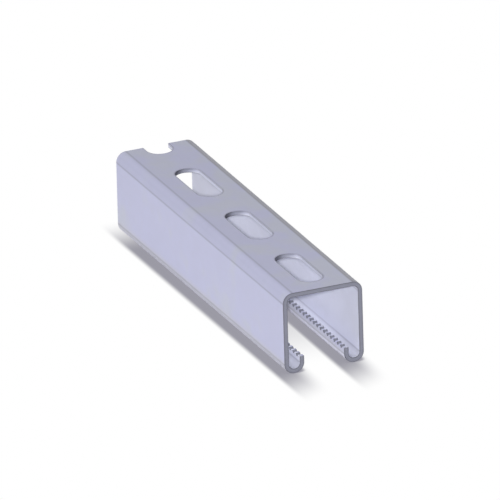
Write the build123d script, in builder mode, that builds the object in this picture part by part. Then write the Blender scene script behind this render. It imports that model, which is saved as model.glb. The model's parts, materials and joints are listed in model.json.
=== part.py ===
"""Strut channel: a short length of slotted C-section steel framing channel.

Frame: +X runs along the channel towards its whole end, +Y across it, +Z up.
The channel lies on its rolled lips with its slotted web on top. The origin is
midway along and across it, level with the underside of the lips.
"""
from build123d import *
import os

# ---- Section (mm) ----
channel_width = 41.3        # over the two side walls
channel_height = 41.3       # lips' underside to the web's outer face
sheet = 2.3                 # strip thickness
bend_radius = 5.0           # outside radius of the bends
lip_width = 10.3            # side wall's outer face to the lip's gap face
lip_height = 8.1            # lips' underside to the crest of the serrations
lip_flat = 0.2              # least flat left between a lip's two bends

# ---- Length and web slots (mm) ----
channel_length = 200.0
slot_length = 38.0          # end to end
slot_width = 13.0
slot_pitch = 60.0
first_slot_inset = 28.0     # whole end to the centre of the first slot

# ---- Serrations along the free edge of each lip (mm) ----
tooth_pitch = 4.1
tooth_crest = 1.6           # flat left on top of each tooth
tooth_root = 0.7            # flat at the bottom of each notch
tooth_depth = 1.3
notch_overrun = 1.0         # how far the notch tool passes the crests and each lip face

# ---- Derived places ----
half_width = channel_width / 2
whole_end = channel_length / 2

# A narrow lip is bent into a hairpin, and never tighter.
lip_bend = min(bend_radius, (lip_width - lip_flat) / 2)

# Slots repeat down the strip, and the saw cuts through the last one.
first_slot = whole_end - first_slot_inset
slots_before_cut = (first_slot + slot_length / 2 + channel_length / 2) // slot_pitch
slot_count = int(slots_before_cut) + 1

notch_mouth = tooth_pitch - tooth_crest
notch_count = int(channel_length / tooth_pitch)
notch_reach = half_width - lip_width + sheet + notch_overrun


def strip_surface(depth):
    """Unbent corners of the strip's surface `depth` in from its outer face, lip to lip."""
    lip_face = half_width - lip_width + depth
    wall_face = half_width - depth
    web_face = channel_height - depth
    one_side = [
        (lip_face, lip_height),
        (lip_face, depth),
        (wall_face, depth),
        (wall_face, web_face),
    ]
    other_side = [(-across, up) for across, up in reversed(one_side)]
    return one_side + other_side


def surface_bends(depth):
    """Radii at the inner corners of that surface, about the same centres at every depth."""
    one_side = [lip_bend - depth, lip_bend - depth, bend_radius - depth]
    return one_side + one_side[::-1]


def notch_outline():
    """Corners of one notch between two teeth, open at the crests, about its own middle."""
    root_level = lip_height - tooth_depth
    tool_level = lip_height + notch_overrun
    return [
        (tooth_root / 2, root_level),
        (notch_mouth / 2, lip_height),
        (notch_mouth / 2, tool_level),
        (-notch_mouth / 2, tool_level),
        (-notch_mouth / 2, lip_height),
        (-tooth_root / 2, root_level),
    ]


with BuildPart() as strut_channel:
    # The rolled section: the strip's two faces, bent about the same centres.
    with BuildSketch(Plane.YZ):
        with BuildLine():
            outer_face = FilletPolyline(strip_surface(0), radius=surface_bends(0))
            inner_face = FilletPolyline(strip_surface(sheet), radius=surface_bends(sheet))
            Line(outer_face @ 0, inner_face @ 0)
            Line(outer_face @ 1, inner_face @ 1)
        make_face()
    extrude(amount=channel_length / 2, both=True)

    # Obround slots punched through the web.
    with BuildSketch(Plane.XY.offset(channel_height)):
        for slot in range(slot_count):
            with Locations((first_slot - slot * slot_pitch, 0)):
                SlotOverall(slot_length, slot_width)
    extrude(amount=-sheet, mode=Mode.SUBTRACT)

    # Notches across both lips leave a row of teeth along each free edge.
    with BuildSketch(Plane.XZ):
        with GridLocations(tooth_pitch, 0, notch_count, 1):
            Polygon(notch_outline(), align=None)
    extrude(amount=notch_reach, both=True, mode=Mode.SUBTRACT)

strut_channel.part.label = "strut_channel"

os.makedirs("parts", exist_ok=True)
export_step(strut_channel.part, "parts/strut_channel.step")
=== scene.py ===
"""Strut channel: the finished look of a short length of slotted framing channel.

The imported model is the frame: metres, +X along the channel towards its whole end, +Y across it,
+Z up to the slotted web, with the rolled lips lying on the floor.
"""

import json
import math

import bpy
from bpy.props import FloatProperty, FloatVectorProperty, PointerProperty
from mathutils import Matrix, Vector


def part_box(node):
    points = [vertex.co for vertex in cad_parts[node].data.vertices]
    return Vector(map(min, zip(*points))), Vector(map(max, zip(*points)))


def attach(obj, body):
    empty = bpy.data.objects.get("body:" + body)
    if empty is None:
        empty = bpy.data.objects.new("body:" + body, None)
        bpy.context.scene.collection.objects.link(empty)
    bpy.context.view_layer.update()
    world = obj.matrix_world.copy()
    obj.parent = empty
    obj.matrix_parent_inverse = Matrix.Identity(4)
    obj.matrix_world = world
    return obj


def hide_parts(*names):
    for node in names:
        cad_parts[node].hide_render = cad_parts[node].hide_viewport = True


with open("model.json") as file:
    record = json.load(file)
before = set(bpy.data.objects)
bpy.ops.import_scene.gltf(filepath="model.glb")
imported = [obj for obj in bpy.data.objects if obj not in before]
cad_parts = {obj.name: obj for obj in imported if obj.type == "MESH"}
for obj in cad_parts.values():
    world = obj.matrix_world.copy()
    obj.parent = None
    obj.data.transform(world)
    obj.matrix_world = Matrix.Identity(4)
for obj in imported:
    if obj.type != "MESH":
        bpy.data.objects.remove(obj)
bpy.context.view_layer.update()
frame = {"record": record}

bl_info = {
    "name": "Strut Channel",
    "version": (1, 0, 0),
    "blender": (4, 5, 0),
    "location": "3D View > Sidebar > Strut Channel",
    "description": "Forms a slotted channel with serrated lips, galvanises it and sets its stage",
    "category": "Add Mesh",
}

MM = 0.001
CAD_NODE = "strut_channel"
PIECE = "galvanised_channel"

# ---- What the frame says about the channel ----
cad_low, cad_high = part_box(CAD_NODE)
cad_size = cad_high - cad_low
mounts = {mount["name"]: mount for mount in frame["record"]["mounts"]}
slot_pair = mounts["slots_whole_end"]
slot_sizes = slot_pair["dims"]
first_slot_from_end = cad_high.x - slot_pair["pos_m"][0] - slot_sizes["spacing_x_mm"] * MM / 2


def length_prop(name, description, default):
    """A size in metres, shown in the scene's length unit."""
    return FloatProperty(name=name, description=description, default=default, min=0.0,
                         unit="LENGTH", subtype="DISTANCE", precision=5)


def share_prop(name, description, default, most=1.0):
    """A share or a tone. A tone may go past 1, which brightens."""
    return FloatProperty(name=name, description=description, default=default, min=0.0,
                         max=most, subtype="FACTOR")


def colour_prop(name, description, default):
    return FloatVectorProperty(name=name, description=description, default=default,
                               min=0.0, max=1.0, size=3, subtype="COLOR")


def angle_prop(name, description, degrees):
    return FloatProperty(name=name, description=description, default=math.radians(degrees),
                         unit="ROTATION", subtype="ANGLE")


def power_prop(name, description, watts):
    return FloatProperty(name=name, description=description, default=watts, min=0.0,
                         unit="POWER")


class ChannelSizes(bpy.types.PropertyGroup):
    """Sizes of the rolled section, its web slots and its serrated lips."""
    length: length_prop("Length", "Channel, end to end", cad_size.x)
    width: length_prop("Width", "Over the two side walls", cad_size.y)
    height: length_prop("Height", "Lips' underside to the web's outer face", cad_size.z)
    sheet: length_prop("Sheet", "Strip thickness", 2.3 * MM)
    bend_radius: length_prop("Bend Radius", "Outside radius of every bend", 5.0 * MM)
    lip_width: length_prop("Lip Width", "Side wall's outer face to the lip's gap face", 10.3 * MM)
    lip_height: length_prop("Lip Height", "Underside to the crest of the teeth", 8.1 * MM)
    slot_length: length_prop("Slot Length", "Web slot, end to end",
                             slot_sizes["slot_length_mm"] * MM)
    slot_width: length_prop("Slot Width", "Web slot, across the channel",
                            slot_sizes["hole_r_mm"] * MM * 2)
    slot_pitch: length_prop("Slot Pitch", "Centre to centre of the slots",
                            slot_sizes["spacing_x_mm"] * MM)
    first_slot: length_prop("First Slot", "Whole end to the first slot's centre",
                            first_slot_from_end)
    tooth_pitch: length_prop("Tooth Pitch", "Tooth to tooth along a lip", 4.1 * MM)
    tooth_crest: length_prop("Tooth Crest", "Flat on top of a tooth", 1.6 * MM)
    tooth_root: length_prop("Tooth Root", "Flat at the bottom of a notch", 0.7 * MM)
    tooth_depth: length_prop("Tooth Depth", "Crest to root", 1.3 * MM)
    edge_break: length_prop("Edge Break", "Rounding of every sheared edge", 0.18 * MM)


class ChannelFinish(bpy.types.PropertyGroup):
    """Colours and gloss of the zinc coat and of the bare cut steel, with the light and shade
    painted into them.
    """
    zinc: colour_prop("Zinc", "Colour of the zinc coat", (0.455, 0.463, 0.625))
    pale_zinc: colour_prop("Pale Zinc", "Colour of the greyer patches in the coat",
                           (0.46, 0.473, 0.575))
    # Greyer on the far bend, as the tint of its painted shade, and low down.
    worn_zinc: colour_prop("Worn Zinc", "Colour of the coat on the far bend and along the lips",
                           (0.466, 0.466, 0.535))
    # Hue of the coat inside, where light is also painted.
    clean_zinc: colour_prop("Clean Zinc", "Colour of the coat inside", (0.455, 0.463, 0.545))
    # Bare steel, darkened as painted shade on the faces turned along the channel: sawn ends, slot
    # ends, tooth flanks.
    cut_steel: colour_prop("Cut Steel", "Colour of sawn and sheared faces", (0.127, 0.130, 0.164))
    roughness: share_prop("Roughness", "Roughness of the zinc coat", 0.5)
    metallic: share_prop("Metallic", "How metallic the zinc coat is", 0.1)
    # Painted shade on the top bends: the near one darker low down, the far one darker all over.
    bend_tone: share_prop("Bend Tone", "Brightness of the bend beside the near wall", 0.87)
    far_bend_tone: share_prop("Far Bend Tone", "Brightness of the bend beside the far wall", 0.74)
    # Painted light: the bends it lies on, as lit from the floor, and a painted reflection of the
    # floor low on each lip.
    foot_tone: share_prop("Foot Tone", "Brightness of the bends it lies on", 1.4, most=2.0)
    lip_tone: share_prop("Lip Tone", "Brightness of the scuff under each lip", 1.45, most=2.0)
    # Painted light inside the channel, less of it in the open ends, and painted shade in the lips'
    # troughs.
    inside_tone: share_prop("Inside Tone", "Brightness of the clean inside", 1.68, most=2.0)
    mouth_tone: share_prop("Mouth Tone", "Brightness inside the open ends", 1.28, most=2.0)
    mouth_depth: length_prop("Mouth Depth", "How far in from the ends the inside is duller",
                             60.0 * MM)
    trough_tone: share_prop("Trough Tone", "Brightness of the lips' troughs, against the inside's",
                            0.8)
    rub_tone: share_prop("Rub Tone", "Brightness of the rub lines along each bend", 0.75)
    rub_width: length_prop("Rub Width", "Width of the rub lines along each bend", 0.9 * MM)
    rim_tone: share_prop("Rim Tone", "Brightness of a cut face's rims and round each slot", 0.62)
    rim_width: length_prop("Rim Width", "Width of the dark rim round each slot", 0.9 * MM)
    spangle: length_prop("Spangle", "Size of the zinc crystals", 4.0 * MM)
    mottle: length_prop("Mottle", "Size of the cloudy patches in the zinc", 22.0 * MM)


class StageSettings(bpy.types.PropertyGroup):
    """Camera and studio light."""
    azimuth: angle_prop("Azimuth", "Camera's turn from straight in front of the side wall", 67.15)
    elevation: angle_prop("Elevation", "Camera's height above the horizon", 22.33)
    roll: angle_prop("Roll", "Camera's turn about its own axis", -1.6)
    view_width: length_prop("View Width", "Width that the camera takes in", 0.23857)
    aim: FloatVectorProperty(name="Aim", description="Point at the middle of the view",
                             default=(0.0072, 0.0022, 0.0262), size=3,
                             unit="LENGTH", subtype="TRANSLATION")
    key: power_prop("Key", "Power of the softbox in front", 1010.0)
    side: power_prop("Side", "Power of the softbox beside the near wall", 14.0)
    back: power_prop("Back", "Power of the softbox behind", 60.0)
    ambient: share_prop("Ambient", "Light from all round", 0.12)
    shadow: colour_prop("Shadow", "Colour of the floor where the channel shades it",
                        (0.33, 0.325, 0.375))
    shade_inside: share_prop("Shade Inside", "How dark the floor is deep between the lips", 0.4)
    shadow_reach: length_prop("Shadow Reach", "How far the contact shadow spreads", 4.0 * MM)
    shadow_lean: length_prop("Shadow Lean", "How far the shadow leans out past the near wall",
                             3.9 * MM)
    shadow_trail: length_prop("Shadow Trail", "How far the shadow trails past the whole end",
                              38.0 * MM)


# ---- Node trees ----
class Wire:
    """One output socket. Arithmetic on it adds the Math node that works it out."""

    def __init__(self, graph, socket):
        self.graph, self.socket = graph, socket

    def math(self, operation, *values):
        return self.graph.node("ShaderNodeMath", dict(enumerate(values)), operation=operation)[0]

    def __add__(self, other):
        return self.math("ADD", self, other)

    def __sub__(self, other):
        return self.math("SUBTRACT", self, other)

    def __rsub__(self, other):
        return self.math("SUBTRACT", other, self)

    def __mul__(self, other):
        return self.math("MULTIPLY", self, other)

    def __truediv__(self, other):
        return self.math("DIVIDE", self, other)

    def __lt__(self, other):
        return self.math("LESS_THAN", self, other)

    def __gt__(self, other):
        return self.math("GREATER_THAN", self, other)

    def __neg__(self):
        return self.math("MULTIPLY", self, -1.0)

    def __abs__(self):
        return self.math("ABSOLUTE", self)

    __radd__ = __add__
    __rmul__ = __mul__

    def floor(self):
        return self.math("FLOOR", self)

    def rounded(self):
        return self.math("ROUND", self)

    def at_least(self, other):
        """The larger of the two, which also joins two masks."""
        return self.math("MAXIMUM", self, other)

    def ramp(self, low, high, bottom=0.0, top=1.0):
        """Eases from bottom, where this is low, to top, where it is high."""
        return self.graph.node("ShaderNodeMapRange",
                               {"Value": self, "From Min": low, "From Max": high,
                                "To Min": bottom, "To Max": top},
                               interpolation_type="SMOOTHSTEP")[0]

    def toned(self, tone):
        """This mask as a brightness: tone where it is 1, and 1 where it is 0."""
        return 1 + self * (tone - 1)


class Made:
    """A node just added, whose outputs are wires."""

    def __init__(self, graph, node):
        self.graph, self.node = graph, node

    def __getitem__(self, output):
        return Wire(self.graph, self.node.outputs[output])


class Graph:
    """A node tree under construction."""
    columns, step_x, step_y = 14, 200, 240
    mix_low, mix_high, mix_result = 4, 5, 1    # a Mix node's vector sockets, by place

    def __init__(self, tree):
        self.tree = tree
        tree.nodes.clear()

    def node(self, kind, sockets=None, **settings):
        """Adds a node: its settings first, then each socket's value or wire, by name or place."""
        node = self.tree.nodes.new(kind)
        row, column = divmod(len(self.tree.nodes), self.columns)
        node.location = (column * self.step_x, -row * self.step_y)
        for name, value in settings.items():
            setattr(node, name, value)
        for place, value in (sockets or {}).items():
            for one in value if isinstance(value, list) else [value]:
                if isinstance(one, Wire):
                    self.tree.links.new(one.socket, node.inputs[place])
                else:
                    node.inputs[place].default_value = one
        return Made(self, node)

    def vector(self, x=0.0, y=0.0, z=0.0):
        return self.node("ShaderNodeCombineXYZ", {"X": x, "Y": y, "Z": z})[0]

    def blend(self, mask, low, high):
        """One colour where the mask is 0, and the other where it is 1."""
        return self.node("ShaderNodeMix",
                         {"Factor": mask, self.mix_low: low, self.mix_high: high},
                         data_type="VECTOR")[self.mix_result]

    def scaled(self, colour, tone):
        return self.node("ShaderNodeVectorMath", {0: colour, "Scale": tone},
                         operation="SCALE")[0]

    def noise(self, place, scale, detail):
        return self.node("ShaderNodeTexNoise",
                         {"Vector": place, "Scale": scale, "Detail": detail})[0]

    def past_corner(self, one_way, other_way):
        """How far past a corner a point is, counting neither way where it falls short."""
        reach = self.vector(one_way.at_least(0.0), other_way.at_least(0.0))
        return self.node("ShaderNodeVectorMath", {0: reach}, operation="LENGTH")["Value"]


# ---- The channel ----
# The tree's inputs, and the sizes that they take. The edge break is a modifier's.
SIZE_INPUTS = {prop.replace("_", " ").title(): prop for prop in ChannelSizes.__annotations__
               if prop != "edge_break"}


def rolled_strip(graph, size):
    """The bare C-section: the strip's mid-line, bent at six corners, swept along the channel."""
    bend_points = 9
    half_sheet = size["Sheet"] / 2
    lip = size["Width"] / 2 - size["Lip Width"] + half_sheet
    wall = size["Width"] / 2 - half_sheet
    web = size["Height"] - half_sheet
    one_side = [(lip, size["Lip Height"]), (lip, half_sheet), (wall, half_sheet), (wall, web)]
    corners = one_side + [(-across, up) for across, up in reversed(one_side)]
    points = graph.node("GeometryNodeMeshLine", {"Count": len(corners)})
    index = graph.node("GeometryNodeInputIndex")
    chosen = graph.tree.nodes.new("GeometryNodeIndexSwitch")
    chosen.data_type = "VECTOR"
    while len(chosen.index_switch_items) < len(corners):
        chosen.index_switch_items.new()
    graph.tree.links.new(index[0].socket, chosen.inputs["Index"])
    for place, (across, up) in enumerate(corners):
        graph.tree.links.new(graph.vector(0.0, across, up).socket, chosen.inputs[place + 1])
    placed = graph.node("GeometryNodeSetPosition",
                        {"Geometry": points["Mesh"], "Position": Wire(graph, chosen.outputs[0])})
    line = graph.node("GeometryNodeMeshToCurve", {"Mesh": placed[0]})
    bent = graph.node("GeometryNodeFilletCurve",
                      {"Curve": line[0], "Count": bend_points,
                       "Radius": size["Bend Radius"] - half_sheet}, mode="POLY")
    level = graph.node("GeometryNodeSetCurveNormal",
                       {"Curve": bent[0], "Normal": (1.0, 0.0, 0.0)}, mode="FREE")
    bar = graph.node("GeometryNodeCurvePrimitiveQuadrilateral",
                     {"Width": size["Length"], "Height": size["Sheet"]})
    swept = graph.node("GeometryNodeCurveToMesh",
                       {"Curve": level[0], "Profile Curve": bar[0], "Fill Caps": True})
    return swept[0]


def web_slots(graph, size):
    """Punches for the obround slots, in a row down the web."""
    overrun, round_points = 1.0 * MM, 48
    punch_end = graph.node("GeometryNodeMeshCylinder",
                           {"Vertices": round_points, "Radius": size["Slot Width"] / 2,
                            "Depth": size["Sheet"] + 2 * overrun})
    shift = (size["Slot Length"] - size["Slot Width"]) / 2
    ends = [graph.node("GeometryNodeTransform",
                       {"Geometry": punch_end["Mesh"], "Translation": graph.vector(way)})[0]
            for way in (shift, -shift)]
    pair = graph.node("GeometryNodeJoinGeometry", {"Geometry": ends})
    punch = graph.node("GeometryNodeConvexHull", {"Geometry": pair[0]})
    half_length, half_slot = size["Length"] / 2, size["Slot Length"] / 2
    first = half_length - size["First Slot"]
    count = ((first + half_slot + half_length) / size["Slot Pitch"]).floor() + 1
    start = graph.vector(first, 0.0, size["Height"] - size["Sheet"] / 2)
    row = graph.node("GeometryNodeMeshLine",
                     {"Count": count, "Start Location": start,
                      "Offset": graph.vector(-size["Slot Pitch"])})
    return graph.node("GeometryNodeInstanceOnPoints",
                      {"Points": row["Mesh"], "Instance": punch[0]})[0]


def lip_notches(graph, size):
    """Tapered notches across both lips, which leave a row of teeth on each."""
    overrun, side_overrun = 0.2 * MM, 1.0 * MM
    root, depth = size["Tooth Root"], size["Tooth Depth"]
    mouth = size["Tooth Pitch"] - size["Tooth Crest"]
    top = root + (mouth - root) * (depth + overrun) / depth
    reach = size["Width"] - 2 * size["Lip Width"] + 2 * size["Sheet"] + 2 * side_overrun
    block = graph.node("GeometryNodeMeshCube", {"Size": graph.vector(top, reach, depth + overrun)})
    place = graph.node("ShaderNodeSeparateXYZ", {0: graph.node("GeometryNodeInputPosition")[0]})
    pinched = place["X"] * (place["Z"] < 0.0).toned(root / top)
    notch = graph.node("GeometryNodeSetPosition",
                       {"Geometry": block["Mesh"],
                        "Position": graph.vector(pinched, place["Y"], place["Z"])})
    count = (size["Length"] / size["Tooth Pitch"]).floor()
    start = graph.vector((1 - count) * size["Tooth Pitch"] / 2, 0.0,
                         size["Lip Height"] + (overrun - depth) / 2)
    row = graph.node("GeometryNodeMeshLine",
                     {"Count": count, "Start Location": start,
                      "Offset": graph.vector(size["Tooth Pitch"])})
    return graph.node("GeometryNodeInstanceOnPoints",
                      {"Points": row["Mesh"], "Instance": notch[0]})[0]


def channel_tree():
    """Geometry Nodes that roll, punch, serrate and cut the channel, from its sizes."""
    tree = bpy.data.node_groups.new("Strut Channel", "GeometryNodeTree")
    sockets = tree.interface
    sockets.new_socket("Geometry", in_out="INPUT", socket_type="NodeSocketGeometry")
    for name in SIZE_INPUTS:
        sockets.new_socket(name, in_out="INPUT", socket_type="NodeSocketFloat").subtype = "DISTANCE"
    sockets.new_socket("Finish", in_out="INPUT", socket_type="NodeSocketMaterial")
    sockets.new_socket("Geometry", in_out="OUTPUT", socket_type="NodeSocketGeometry")

    graph = Graph(tree)
    given = graph.node("NodeGroupInput")
    size = {name: given[name] for name in SIZE_INPUTS}
    strip = rolled_strip(graph, size)
    tools = graph.node("GeometryNodeJoinGeometry",
                       {"Geometry": [web_slots(graph, size), lip_notches(graph, size)]})
    cutters = graph.node("GeometryNodeRealizeInstances", {"Geometry": tools[0]})
    cut = graph.node("GeometryNodeMeshBoolean", {"Mesh 1": strip, "Mesh 2": cutters[0]},
                     operation="DIFFERENCE", solver="EXACT")
    whole = graph.node("GeometryNodeRealizeInstances", {"Geometry": cut["Mesh"]})
    finished = graph.node("GeometryNodeSetMaterial",
                          {"Geometry": whole[0], "Material": given["Finish"]})
    graph.node("NodeGroupOutput", {"Geometry": finished[0]})
    return tree


# ---- The finish ----
# The coat's tones go by place and facing alone. They were fitted under this stage's light, and hold
# painted light and shade as well as the coat's own look. Where the settings' labels name wear,
# cleaning or scuffs, the cause is a guess, and those tones are painted light and shade.
class Section:
    """Where a point lies on the channel, with the masks that pick out parts of it."""

    def __init__(self, graph, sizes):
        self.sizes = sizes
        coordinate = graph.node("ShaderNodeTexCoord")
        self.place = coordinate["Object"]
        place = graph.node("ShaderNodeSeparateXYZ", {0: self.place})
        facing = graph.node("ShaderNodeSeparateXYZ", {0: coordinate["Normal"]})
        self.along, self.sideways, self.up = place["X"], place["Y"], place["Z"]
        self.from_middle, self.across = abs(self.along), abs(self.sideways)
        self.faces_far = facing["Y"]
        self.endwise, self.level = abs(facing["X"]), abs(facing["Z"])

        # Where the flats run into the bends, and where the strip ends.
        self.foot = sizes.bend_radius
        self.eave = sizes.height - sizes.bend_radius
        self.shoulder = sizes.width / 2 - sizes.bend_radius
        self.lip_bend = sizes.width / 2 - sizes.lip_width + sizes.bend_radius
        self.end = sizes.length / 2

        self.web = (self.up > self.eave) * (self.across < self.shoulder)
        self.top_bend = (self.across > self.shoulder) * (self.up > self.eave)
        self.far_side = self.sideways > 0.0
        self.through = self.strip_depth(graph) / sizes.sheet
        self.from_slot = self.slot_distance(graph)
        self.sawn = self.from_middle.ramp(self.end - 1.5 * sizes.edge_break,
                                          self.end - 0.5 * sizes.edge_break)

        # The inner half of the strip, which gets the inside's painted light and hue. A slot's
        # straight sides get nearly as much.
        slot_sides = self.web * abs(self.faces_far).ramp(0.4, 1.0, 0.0, 0.8)
        self.inside = self.through.ramp(0.3, 0.7).at_least(slot_sides)
        self.outside = 1 - self.inside

    def strip_depth(self, graph):
        """How deep a point lies below the strip's outer face, all round the section."""
        past_lip = (self.lip_bend - self.across) * (self.up < self.sizes.height / 2)
        sideways = (self.across - self.shoulder).at_least(past_lip)
        upwards = (self.up - self.eave).at_least(self.foot - self.up)
        return self.foot - graph.past_corner(sideways, upwards)

    def slot_distance(self, graph):
        """How far a point of the web is from the edge of its nearest slot."""
        sizes = self.sizes
        slots_along = (self.along - self.end + sizes.first_slot) / sizes.slot_pitch
        from_centre = abs(slots_along - slots_along.rounded()) * sizes.slot_pitch
        past_straight = from_centre - (sizes.slot_length - sizes.slot_width) / 2
        return graph.past_corner(past_straight, self.across) - sizes.slot_width / 2

    def rising(self, low, high, bottom=0.0, top=1.0):
        """Eases from bottom to top between two heights, which are counted in bend radii."""
        return self.up.ramp(low * self.foot, high * self.foot, bottom, top)


def rub_lines(section, width):
    """The lines that the rolls rubbed where each bend runs into a flat."""
    def line(value, centre):
        return abs(value - centre).ramp(0.0, width, 1.0, 0.0)

    along_web = line(section.across, section.shoulder) * (section.up > section.eave)
    along_wall = line(section.up, section.eave) * (section.across > section.shoulder)
    return along_web.at_least(along_wall).at_least(line(section.up, section.foot))


def slot_rims(section, width):
    """The dark rim round each slot, by the web's outer face (depth 0) and its inner one (1)."""
    outer = section.through.ramp(0.12, 0.45, 1.0, 0.0)
    inner = section.through.ramp(0.75, 1.0)
    beside_slot = abs(section.from_slot).ramp(0.0, width, 1.0, 0.0)
    return section.web * outer.at_least(inner) * beside_slot


def painted_bend_shade(section, finish):
    """Painted shade on the top bends: the near one darker low down and brightening towards the web,
    the far one dull all over.
    """
    dull_to, bright_from, bright = 0.6, 1.06, 1.03    # bend radii above the eave, and the tone
    near = section.up.ramp(section.eave + section.foot * dull_to,
                           section.eave + section.foot * bright_from, finish.bend_tone, bright)
    tone = near * (1 - section.far_side) + section.far_side * finish.far_bend_tone
    return (section.top_bend * section.outside).toned(tone)


def painted_floor_light(section, finish):
    """Painted light: the bends it lies on, brightened as if lit from the floor, a painted
    reflection of the floor low on each lip, and a fainter painted light from there up.
    """
    glint_height, glint_reach = 0.8 * section.foot, 0.38 * section.foot
    faint_glint = 0.1
    # Painted light from the floor on the bends it lies on.
    underside = 1 + section.outside * section.rising(0.0, 1.0, finish.foot_tone - 1, 0.0)
    # A painted reflection of the floor low on each lip, and fainter painted light above it.
    glint = abs(section.up - glint_height).ramp(0.0, glint_reach, finish.lip_tone - 1, 0.0)
    glint = glint.at_least(section.rising(0.5, 1.0, 0.0, faint_glint))
    lips = section.outside * (section.across < section.lip_bend) * (section.up < section.eave)
    return underside * (1 + lips * glint)


def painted_inside_light(section, finish):
    """Painted light inside the channel, less of it in the open ends, and painted shade in the
    troughs behind the lips.
    """
    end = section.end
    mouth = section.from_middle.ramp(end - finish.mouth_depth, end,
                                     finish.inside_tone, finish.mouth_tone)
    trough = section.rising(0.7, 1.1, finish.trough_tone, 1.0)

    # Low on the walls, painted light brightens the coat from the middle of the channel to its ends.
    bright_from, bright_to, middle_change, end_change = 50 * MM, 12 * MM, -0.05, 0.11
    low_wall = section.rising(0.9, 1.3) * section.rising(1.6, 3.8, 1.0, 0.0)
    change = section.from_middle.ramp(end - bright_from, end - bright_to,
                                      middle_change, end_change)

    # Painted light: the half with the open slot is a little brighter than the half with the whole
    # end.
    fade, sawn_half = 40 * MM, 1.08
    halves = section.along.ramp(-fade, fade, sawn_half, 1.0)
    return section.inside.toned(mouth * trough * (1 + low_wall * change) * halves)


def coat_colour(graph, section, finish, clouds):
    """Zinc: greyer in patches to the far side, greyer on the far bend as the tint of its painted
    shade, greyer low down, and another hue inside.
    """
    far_pull = 6.0    # how much a metre sideways adds to the clouds
    greyer = (clouds + section.sideways * far_pull).ramp(0.4, 0.6)
    hue = graph.blend(greyer, tuple(finish.zinc), tuple(finish.pale_zinc))
    # Greyer hue on the far bend, tinting its painted shade, and low down.
    far_and_low = (section.top_bend * section.far_side).at_least(section.rising(0.8, 1.7, 1.0, 0.0))
    hue = graph.blend(far_and_low, hue, tuple(finish.worn_zinc))
    return graph.blend(section.inside, hue, tuple(finish.clean_zinc))


def cut_faces(section):
    """Masks of the slots' walls, and of the faces given dark bare steel: sawn ends, slot ends,
    tooth flanks. Their darkness by facing is partly painted shade.
    """
    far_pull = 0.9    # a slot's end takes more painted shade where it also faces the far wall
    slot_wall = section.web * (1 - section.sawn) * section.level.ramp(0.2, 0.8, 1.0, 0.0)
    slot_end = (slot_wall * section.endwise.ramp(0.0, 0.2)
                * (section.endwise + section.faces_far * far_pull).ramp(-1.6, 1.1))
    tooth_flank = (1 - section.web) * section.endwise.ramp(0.02, 0.6)
    return slot_wall, section.sawn.at_least(slot_end + tooth_flank)


def steel_tone(section, finish, slot_wall, saw):
    """Bare steel with saw lines and rims, with painted light on the slot walls, and painted shade
    on slot ends that face the far wall.
    """
    dullest, saw_contrast = 0.85, 0.3
    # Painted light on the slot walls, and painted shade on their ends that face the far wall.
    slot_painted_light, slot_painted_shade = 0.36, 1.55
    rims = abs(section.through - 0.5).ramp(0.2, 0.5).toned(finish.rim_tone)
    painted_slot_shade = (section.endwise * section.faces_far).at_least(0.0)
    slots = 1 + slot_wall * (slot_painted_light - painted_slot_shade * slot_painted_shade)
    return (dullest + saw * saw_contrast) * rims * slots


def galvanised(finish, sizes):
    """Zinc-coated strip, rubbed where the rolls bent it, bare where it was cut, with painted light
    and shade in its colour.
    """
    material = bpy.data.materials.new("galvanised_steel")
    material.use_nodes = True
    graph = Graph(material.node_tree)
    section = Section(graph, sizes)

    # Cloudy patches, a faint spangle, and fine lines: drawn along the strip, or left by the saw.
    drawn_scale, saw_scale, saw_tilt = (30.0, 2500.0, 2500.0), (400.0, 200.0, 5000.0), 12
    clouds = graph.noise(section.place, 1 / finish.mottle, detail=3.0)
    crystals = graph.node("ShaderNodeTexVoronoi",
                          {"Vector": section.place, "Scale": 1 / finish.spangle})
    crystal = graph.node("ShaderNodeSeparateColor", {0: crystals["Color"]})[0]
    drawn = graph.node("ShaderNodeMapping", {"Vector": section.place, "Scale": drawn_scale})[0]
    lines = graph.noise(drawn, scale=1.0, detail=2.0)
    kerf = graph.node("ShaderNodeMapping",
                      {"Vector": section.place, "Rotation": (math.radians(saw_tilt), 0.0, 0.0),
                       "Scale": saw_scale})[0]
    saw = graph.noise(kerf, scale=1.0, detail=2.0)

    darkest, cloud_contrast, crystal_contrast, line_contrast = 0.93, 0.08, 0.03, 0.03
    tone = (darkest + clouds * cloud_contrast + crystal * crystal_contrast
            + lines * line_contrast)
    # Painted light and shade on the bends, feet and inside join the rub lines and rims.
    for detail in (rub_lines(section, finish.rub_width).toned(finish.rub_tone),
                   slot_rims(section, finish.rim_width).toned(finish.rim_tone),
                   painted_bend_shade(section, finish), painted_floor_light(section, finish),
                   painted_inside_light(section, finish)):
        tone = tone * detail
    zinc = graph.scaled(coat_colour(graph, section, finish, clouds), tone)
    # Dark bare steel, partly painted shade, on the faces turned along the channel.
    slot_wall, cut = cut_faces(section)
    steel = graph.scaled(tuple(finish.cut_steel), steel_tone(section, finish, slot_wall, saw))

    gloss_contrast, line_height, crystal_height = 0.06, 0.5, 0.3
    rough = finish.roughness + (clouds + crystal - 1) * gloss_contrast
    relief = lines * line_height + crystal * crystal_height * (1 - cut) + saw * cut
    bump = graph.node("ShaderNodeBump",
                      {"Height": relief, "Distance": 0.02 * MM, "Strength": 0.6})[0]
    shader = graph.node("ShaderNodeBsdfPrincipled",
                        {"Base Color": graph.blend(cut, zinc, steel),
                         "Metallic": section.outside * finish.metallic,
                         "Roughness": rough, "Normal": bump})
    graph.node("ShaderNodeOutputMaterial", {"Surface": shader[0]})
    return material


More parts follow.
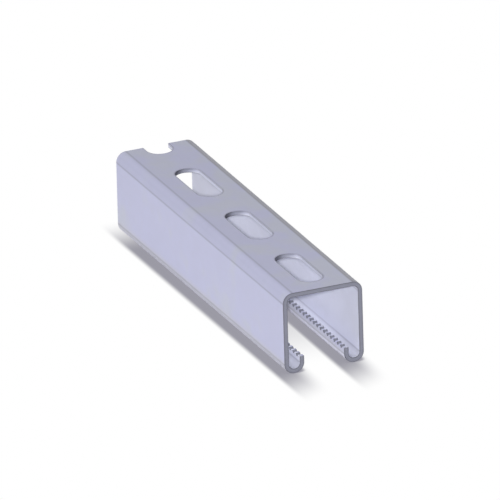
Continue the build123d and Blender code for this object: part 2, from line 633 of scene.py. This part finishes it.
class STRUT_OT_form_channel(bpy.types.Operator):
    """Rolls, punches and serrates the channel in place of the plain model"""
    bl_idname = "strut.form_channel"
    bl_label = "Form Channel"
    bl_options = {"REGISTER", "UNDO"}

    def execute(self, context):
        sizes = context.scene.strut_sizes
        material = galvanised(context.scene.strut_finish, sizes)
        channel = bpy.data.objects.new(PIECE, bpy.data.meshes.new(PIECE))
        context.scene.collection.objects.link(channel)
        former = channel.modifiers.new("Form", "NODES")
        tree = channel_tree()
        sockets = {item.name: item.identifier for item in tree.interface.items_tree
                   if item.in_out == "INPUT"}
        former.node_group = tree
        for name, prop in SIZE_INPUTS.items():
            former[sockets[name]] = getattr(sizes, prop)
        former[sockets["Finish"]] = material
        formed = bpy.data.meshes.new_from_object(
            channel.evaluated_get(context.evaluated_depsgraph_get()))
        if not formed.polygons:
            raise RuntimeError("the channel's nodes made no faces")
        channel.modifiers.remove(former)
        formed.name = PIECE
        formed.shade_smooth()
        channel.data = formed

        rounding = channel.modifiers.new("Edge Break", "BEVEL")
        rounding.width = sizes.edge_break
        rounding.segments = 2
        rounding.limit_method = "ANGLE"
        rounding.angle_limit = math.radians(30)
        rounding.use_clamp_overlap = True
        shading = channel.modifiers.new("Flat Faces", "WEIGHTED_NORMAL")
        shading.keep_sharp = True
        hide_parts(CAD_NODE)
        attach(channel, "root")
        return {"FINISHED"}


# ---- The stage ----
# Softboxes: azimuth and elevation in degrees, then how far away and how wide in metres.
SOFTBOXES = {"key": (67, 22.5, 8.0, 0.3), "side": (0, 8, 4.0, 1.0), "back": (225, 3, 4.0, 1.5)}

# Where the floor's shade eases in or out: across a foot in leans, along the channel in trails.
NEAR_EDGE, FAR_EDGE = (-1.45, -0.55), (-1.7, 1.1)
WHOLE_END, SAWN_END, DEEP = (-0.2, 0.9), (-0.42, 0.68), (-1.6, -0.1)


def aimed(eye, target):
    """Rotation that points a lamp or a camera from eye to target."""
    return (target - eye).to_track_quat("-Z", "Y").to_matrix().to_4x4()


def direction(azimuth, elevation):
    """Unit vector towards an azimuth and elevation, which are measured as the camera's are."""
    return Vector((math.sin(azimuth) * math.cos(elevation),
                   -math.cos(azimuth) * math.cos(elevation), math.sin(elevation)))


def softbox(scene, name, azimuth, elevation, away, side, power):
    """Hangs a lamp that lights the channel but doesn't glare in it."""
    lamp = bpy.data.lights.new(name, "AREA")
    lamp.shape, lamp.size, lamp.energy = "SQUARE", side, power
    holder = bpy.data.objects.new(name, lamp)
    holder.visible_glossy = False
    middle = (cad_low + cad_high) / 2
    eye = middle + direction(math.radians(azimuth), math.radians(elevation)) * away
    holder.matrix_world = Matrix.Translation(eye) @ aimed(eye, middle)
    scene.collection.objects.link(holder)


def seen(graph):
    """1 on rays that should see the studio as white: the camera's and reflections."""
    path = graph.node("ShaderNodeLightPath")
    bounced = path["Is Glossy Ray"].at_least(path["Is Transmission Ray"])
    return path["Is Camera Ray"].at_least(bounced)


def span(start, unit, counts):
    """Places that lie so many units from the start."""
    return [start + unit * count for count in counts]


def foot_shade(ahead, across, low, high, settings):
    """One foot's soft shadow: out past the near wall, and trailing off past the whole end."""
    lean, trail, skew = settings.shadow_lean, settings.shadow_trail, 0.5
    sides = (across.ramp(*span(low, lean, NEAR_EDGE))
             * across.ramp(*span(high, lean, FAR_EDGE), 1.0, 0.0))
    skewed = ahead + (across - (low + high) / 2) * skew
    return sides * skewed.ramp(*span(cad_high.x, trail, WHOLE_END), 1.0, 0.0)


def floor_shade(graph, sizes, settings):
    """How dark the channel makes the floor: close by, under its feet and deep between them."""
    place = graph.node("ShaderNodeSeparateXYZ",
                       {0: graph.node("ShaderNodeTexCoord")["Object"]})
    ahead, across = place["X"], place["Y"]
    trail, half_width = settings.shadow_trail, sizes.width / 2
    openness = graph.node("ShaderNodeAmbientOcclusion", {"Distance": settings.shadow_reach},
                          samples=16)["AO"]
    shade = openness.ramp(0.5, 0.95, 1.0, 0.0)
    for low in (-half_width, half_width - sizes.lip_width):
        shade = shade.at_least(foot_shade(ahead, across, low, low + sizes.lip_width, settings))
    shade = shade * ahead.ramp(*span(cad_low.x, trail, SAWN_END))
    deep = abs(ahead).ramp(*span(cad_high.x, trail, DEEP), settings.shade_inside, 0.0)
    return shade.at_least(deep * (abs(across) < half_width))


def floor_material(sizes, settings):
    """A white floor. What the camera sees as shadow is drawn here, and not cast by the lamps."""
    material = bpy.data.materials.new("studio_floor")
    material.use_nodes = True
    graph = Graph(material.node_tree)
    colour = graph.blend(floor_shade(graph, sizes, settings),
                         (1.0, 1.0, 1.0), tuple(settings.shadow))
    shown = graph.node("ShaderNodeEmission", {"Color": colour, "Strength": 1.0})
    plain = graph.node("ShaderNodeBsdfDiffuse", {"Color": (0.9, 0.9, 0.9, 1.0)})
    mixed = graph.node("ShaderNodeMixShader", {0: seen(graph), 1: plain[0], 2: shown[0]})
    graph.node("ShaderNodeOutputMaterial", {"Surface": mixed[0]})
    return material


def studio_world(ambient):
    """White where it is seen, and a dim light from all round."""
    world = bpy.data.worlds.new("studio")
    world.use_nodes = True
    graph = Graph(world.node_tree)
    strength = ambient + seen(graph) * (1.0 - ambient)
    backdrop = graph.node("ShaderNodeBackground",
                          {"Color": (1.0, 1.0, 1.0, 1.0), "Strength": strength})
    graph.node("ShaderNodeOutputWorld", {"Surface": backdrop[0]})
    return world


def studio_floor(sizes, settings):
    """One wide sheet, a hair below the channel's lips."""
    half_side, drop = 4.0, 0.02 * MM
    corners = [(x * half_side, y * half_side, -drop)
               for x, y in ((-1, -1), (1, -1), (1, 1), (-1, 1))]
    mesh = bpy.data.meshes.new("studio_floor")
    mesh.from_pydata(corners, [], [(0, 1, 2, 3)])
    mesh.materials.append(floor_material(sizes, settings))
    return bpy.data.objects.new("studio_floor", mesh)


def studio_camera(settings):
    """A camera with parallel rays, aimed as the settings say."""
    eye_distance = 1.0
    lens = bpy.data.cameras.new("camera")
    lens.type = "ORTHO"
    lens.ortho_scale = settings.view_width
    lens.clip_start, lens.clip_end = 0.01, 10.0
    camera = bpy.data.objects.new("camera", lens)
    aim = Vector(settings.aim)
    eye = aim + direction(settings.azimuth, settings.elevation) * eye_distance
    camera.matrix_world = (Matrix.Translation(eye) @ aimed(eye, aim)
                           @ Matrix.Rotation(settings.roll, 4, "Z"))
    return camera


class STRUT_OT_set_stage(bpy.types.Operator):
    """Lays the floor, hangs the softboxes and places the camera"""
    bl_idname = "strut.set_stage"
    bl_label = "Set Stage"
    bl_options = {"REGISTER", "UNDO"}

    def execute(self, context):
        scene, settings = context.scene, context.scene.strut_stage
        floor = studio_floor(scene.strut_sizes, settings)
        scene.collection.objects.link(floor)

        scene.world = studio_world(settings.ambient)
        for name, (azimuth, elevation, away, side) in SOFTBOXES.items():
            softbox(scene, name, azimuth, elevation, away, side, getattr(settings, name))

        camera = studio_camera(settings)
        scene.collection.objects.link(camera)
        scene.camera = camera
        scene.view_settings.view_transform = "Standard"
        return {"FINISHED"}


class STRUT_PT_panel(bpy.types.Panel):
    """Lists the channel's and the stage's makers with their settings"""
    bl_idname = "STRUT_PT_panel"
    bl_label = "Strut Channel"
    bl_space_type = "VIEW_3D"
    bl_region_type = "UI"
    bl_category = "Strut Channel"

    def draw(self, context):
        scene = context.scene
        for operator, groups in ((STRUT_OT_form_channel, (scene.strut_sizes, scene.strut_finish)),
                                 (STRUT_OT_set_stage, (scene.strut_stage,))):
            self.layout.operator(operator.bl_idname)
            column = self.layout.column(align=True)
            for group in groups:
                for name in group.__annotations__:
                    column.prop(group, name)


SETTINGS = {"strut_sizes": ChannelSizes, "strut_finish": ChannelFinish,
            "strut_stage": StageSettings}
CLASSES = (*SETTINGS.values(), STRUT_OT_form_channel, STRUT_OT_set_stage, STRUT_PT_panel)


def register():
    for one in CLASSES:
        bpy.utils.register_class(one)
    for name, group in SETTINGS.items():
        setattr(bpy.types.Scene, name, PointerProperty(type=group))


def unregister():
    for name in SETTINGS:
        delattr(bpy.types.Scene, name)
    for one in reversed(CLASSES):
        bpy.utils.unregister_class(one)


def main():
    register()
    bpy.ops.strut.form_channel()
    bpy.ops.strut.set_stage()


if __name__ == "__main__":
    main()
